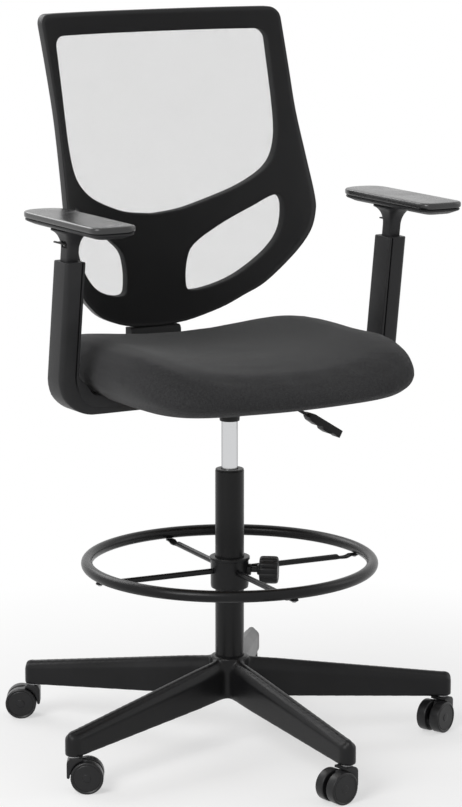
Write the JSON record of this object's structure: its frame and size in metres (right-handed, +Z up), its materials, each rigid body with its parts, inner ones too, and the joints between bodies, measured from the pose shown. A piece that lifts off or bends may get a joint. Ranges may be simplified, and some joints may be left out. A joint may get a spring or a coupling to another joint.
{
  "type": "drafting chair",
  "caption": "Tall drafting chair with a five-star castor base, gas lift, height-adjustable foot ring, upholstered seat, mesh back and height-adjustable armrests.",
  "frame": {"origin": "on the floor, at the middle of the chair's footprint; the column axis stands 30 mm behind it", "axes": "+Z up, the sitter faces -Y, +X at the sitter's left hand"},
  "size_m": [0.769, 0.7714, 1.26],
  "materials": {
    "black_nylon": "black glass-filled nylon, fine moulded grain, soft sheen",
    "black_paint": "black powder coat, fine texture, half gloss",
    "chrome": "polished hard chrome",
    "zinc_steel": "zinc-plated steel",
    "pan_steel": "black powder-coated sheet steel",
    "castor_nylon": "hard black nylon, satin",
    "charcoal_fabric": "charcoal woven upholstery with a fine melange",
    "black_mesh": "open black knitted net",
    "plywood": "sanded plywood, underside stapled cloth left out",
    "grey_pad_skin": "dark grey self-skinned polyurethane, satin"
  },
  "bodies": {
    "base": {"star_base": "black_nylon", "column_tube": "black_paint", "column_bushing": "black_nylon", "thrust_bearing": "zinc_steel", "piston_rod": "zinc_steel", "retaining_clip": "zinc_steel", "castor_stem_1": "zinc_steel", "castor_stem_2": "zinc_steel", "castor_stem_3": "zinc_steel", "castor_stem_4": "zinc_steel", "castor_stem_5": "zinc_steel"},
    "castor_1": {"castor_hood_1": "black_nylon", "castor_axle_1": "zinc_steel"},
    "wheel_1_left": {"castor_wheel_1_left": "castor_nylon"},
    "wheel_1_right": {"castor_wheel_1_right": "castor_nylon"},
    "castor_2": {"castor_hood_2": "black_nylon", "castor_axle_2": "zinc_steel"},
    "wheel_2_left": {"castor_wheel_2_left": "castor_nylon"},
    "wheel_2_right": {"castor_wheel_2_right": "castor_nylon"},
    "castor_3": {"castor_hood_3": "black_nylon", "castor_axle_3": "zinc_steel"},
    "wheel_3_left": {"castor_wheel_3_left": "castor_nylon"},
    "wheel_3_right": {"castor_wheel_3_right": "castor_nylon"},
    "castor_4": {"castor_hood_4": "black_nylon", "castor_axle_4": "zinc_steel"},
    "wheel_4_left": {"castor_wheel_4_left": "castor_nylon"},
    "wheel_4_right": {"castor_wheel_4_right": "castor_nylon"},
    "castor_5": {"castor_hood_5": "black_nylon", "castor_axle_5": "zinc_steel"},
    "wheel_5_left": {"castor_wheel_5_left": "castor_nylon"},
    "wheel_5_right": {"castor_wheel_5_right": "castor_nylon"},
    "foot_rest": {"foot_collar": "black_nylon", "foot_ring": "black_paint", "foot_spoke_1": "black_paint", "foot_spoke_2": "black_paint", "foot_spoke_3": "black_paint", "foot_spoke_4": "black_paint"},
    "knob": {"clamp_knob": "black_nylon"},
    "lift": {"gas_cylinder": "chrome"},
    "valve": {"valve_pin": "zinc_steel"},
    "seat": {"mechanism_housing": "pan_steel", "seat_plate": "pan_steel", "lever_pin": "pan_steel", "seat_board": "plywood", "seat_cushion": "charcoal_fabric", "back_bracket": "pan_steel", "back_frame": "black_nylon", "back_mesh": "black_mesh", "left_arm_upright": "black_nylon", "right_arm_upright": "black_nylon"},
    "height_lever": {"height_lever": "black_nylon"},
    "left_armrest": {"left_arm_post": "black_nylon", "left_pad_base": "black_nylon", "left_arm_pad": "grey_pad_skin"},
    "left_release": {"left_release_lever": "black_nylon"},
    "right_armrest": {"right_arm_post": "black_nylon", "right_pad_base": "black_nylon", "right_arm_pad": "grey_pad_skin"},
    "right_release": {"right_release_lever": "black_nylon"}
  },
  "joints": [
    {"name": "castor_1_swivel", "type": "hinge", "parent": "base", "child": "castor_1", "pos_m": [0, -0.356, 0.0275], "axis": [0, 0, 1], "continuous": true},
    {"name": "wheel_1_left_roll", "type": "hinge", "parent": "castor_1", "child": "wheel_1_left", "pos_m": [-0.02173, -0.35944, 0.0275], "axis": [0.1564, -0.9877, 0], "continuous": true},
    {"name": "wheel_1_right_roll", "type": "hinge", "parent": "castor_1", "child": "wheel_1_right", "pos_m": [-0.02173, -0.35944, 0.0275], "axis": [0.1564, -0.9877, 0], "continuous": true},
    {"name": "castor_2_swivel", "type": "hinge", "parent": "base", "child": "castor_2", "pos_m": [0.36711, -0.08928, 0.0275], "axis": [0, 0, 1], "continuous": true},
    {"name": "wheel_2_left_roll", "type": "hinge", "parent": "castor_2", "child": "wheel_2_left", "pos_m": [0.34686, -0.09788, 0.0275], "axis": [0.3907, -0.9205, 0], "continuous": true},
    {"name": "wheel_2_right_roll", "type": "hinge", "parent": "castor_2", "child": "wheel_2_right", "pos_m": [0.34686, -0.09788, 0.0275], "axis": [0.3907, -0.9205, 0], "continuous": true},
    {"name": "castor_3_swivel", "type": "hinge", "parent": "base", "child": "castor_3", "pos_m": [0.22689, 0.34228, 0.0275], "axis": [0, 0, 1], "continuous": true},
    {"name": "wheel_3_left_roll", "type": "hinge", "parent": "castor_3", "child": "wheel_3_left", "pos_m": [0.20783, 0.35328, 0.0275], "axis": [-0.5, -0.866, 0], "continuous": true},
    {"name": "wheel_3_right_roll", "type": "hinge", "parent": "castor_3", "child": "wheel_3_right", "pos_m": [0.20783, 0.35328, 0.0275], "axis": [-0.5, -0.866, 0], "continuous": true},
    {"name": "castor_4_swivel", "type": "hinge", "parent": "base", "child": "castor_4", "pos_m": [-0.22689, 0.34228, 0.0275], "axis": [0, 0, 1], "continuous": true},
    {"name": "wheel_4_left_roll", "type": "hinge", "parent": "castor_4", "child": "wheel_4_left", "pos_m": [-0.24594, 0.35328, 0.0275], "axis": [-0.5, -0.866, 0], "continuous": true},
    {"name": "wheel_4_right_roll", "type": "hinge", "parent": "castor_4", "child": "wheel_4_right", "pos_m": [-0.24594, 0.35328, 0.0275], "axis": [-0.5, -0.866, 0], "continuous": true},
    {"name": "castor_5_swivel", "type": "hinge", "parent": "base", "child": "castor_5", "pos_m": [-0.36711, -0.08928, 0.0275], "axis": [0, 0, 1], "continuous": true},
    {"name": "wheel_5_left_roll", "type": "hinge", "parent": "castor_5", "child": "wheel_5_left", "pos_m": [-0.34806, -0.10028, 0.0275], "axis": [0.5, 0.866, 0], "continuous": true},
    {"name": "wheel_5_right_roll", "type": "hinge", "parent": "castor_5", "child": "wheel_5_right", "pos_m": [-0.34806, -0.10028, 0.0275], "axis": [0.5, 0.866, 0], "continuous": true},
    {"name": "foot_rest_height", "type": "slide", "parent": "base", "child": "foot_rest", "axis": [0, 0, 1], "range_m": [-0.11, 0.12]},
    {"name": "clamp_knob_turn", "type": "hinge", "parent": "foot_rest", "child": "knob", "pos_m": [0, 0.03, 0.3095], "axis": [0.8192, -0.5736, 0], "range_deg": [0, 360]},
    {"name": "seat_height", "type": "slide", "parent": "base", "child": "lift", "axis": [0, 0, 1], "range_m": [-0.08, 0.12]},
    {"name": "valve_press", "type": "slide", "parent": "lift", "child": "valve", "axis": [0, 0, 1], "range_m": [-0.004, 0]},
    {"name": "seat_swivel", "type": "hinge", "parent": "lift", "child": "seat", "pos_m": [0, 0.03, 0.572], "axis": [0, 0, 1], "continuous": true},
    {"name": "height_lever_lift", "type": "hinge", "parent": "seat", "child": "height_lever", "pos_m": [0.034, 0.03, 0.6143], "axis": [0, -1, 0], "range_deg": [0, 5], "stiffness_Nm_per_rad": 2, "springref_deg": -5.73},
    {"name": "left_armrest_height", "type": "slide", "parent": "seat", "child": "left_armrest", "axis": [0, -0.1426, 0.9898], "range_m": [-0.013, 0.067]},
    {"name": "left_release_lift", "type": "hinge", "parent": "left_armrest", "child": "left_release", "pos_m": [0.315, 0.00993, 0.9022], "axis": [1, 0, 0], "range_deg": [0, 8], "stiffness_Nm_per_rad": 0.1, "springref_deg": -5.73},
    {"name": "right_armrest_height", "type": "slide", "parent": "seat", "child": "right_armrest", "axis": [0, -0.1426, 0.9898], "range_m": [-0.013, 0.067]},
    {"name": "right_release_lift", "type": "hinge", "parent": "right_armrest", "child": "right_release", "pos_m": [-0.315, 0.00993, 0.9022], "axis": [1, 0, 0], "range_deg": [0, 8], "stiffness_Nm_per_rad": 0.1, "springref_deg": -5.73}
  ],
  "couplings": [
    {"joint": "valve_press", "follows": "height_lever_lift", "m_per_rad": -0.034}
  ]
}
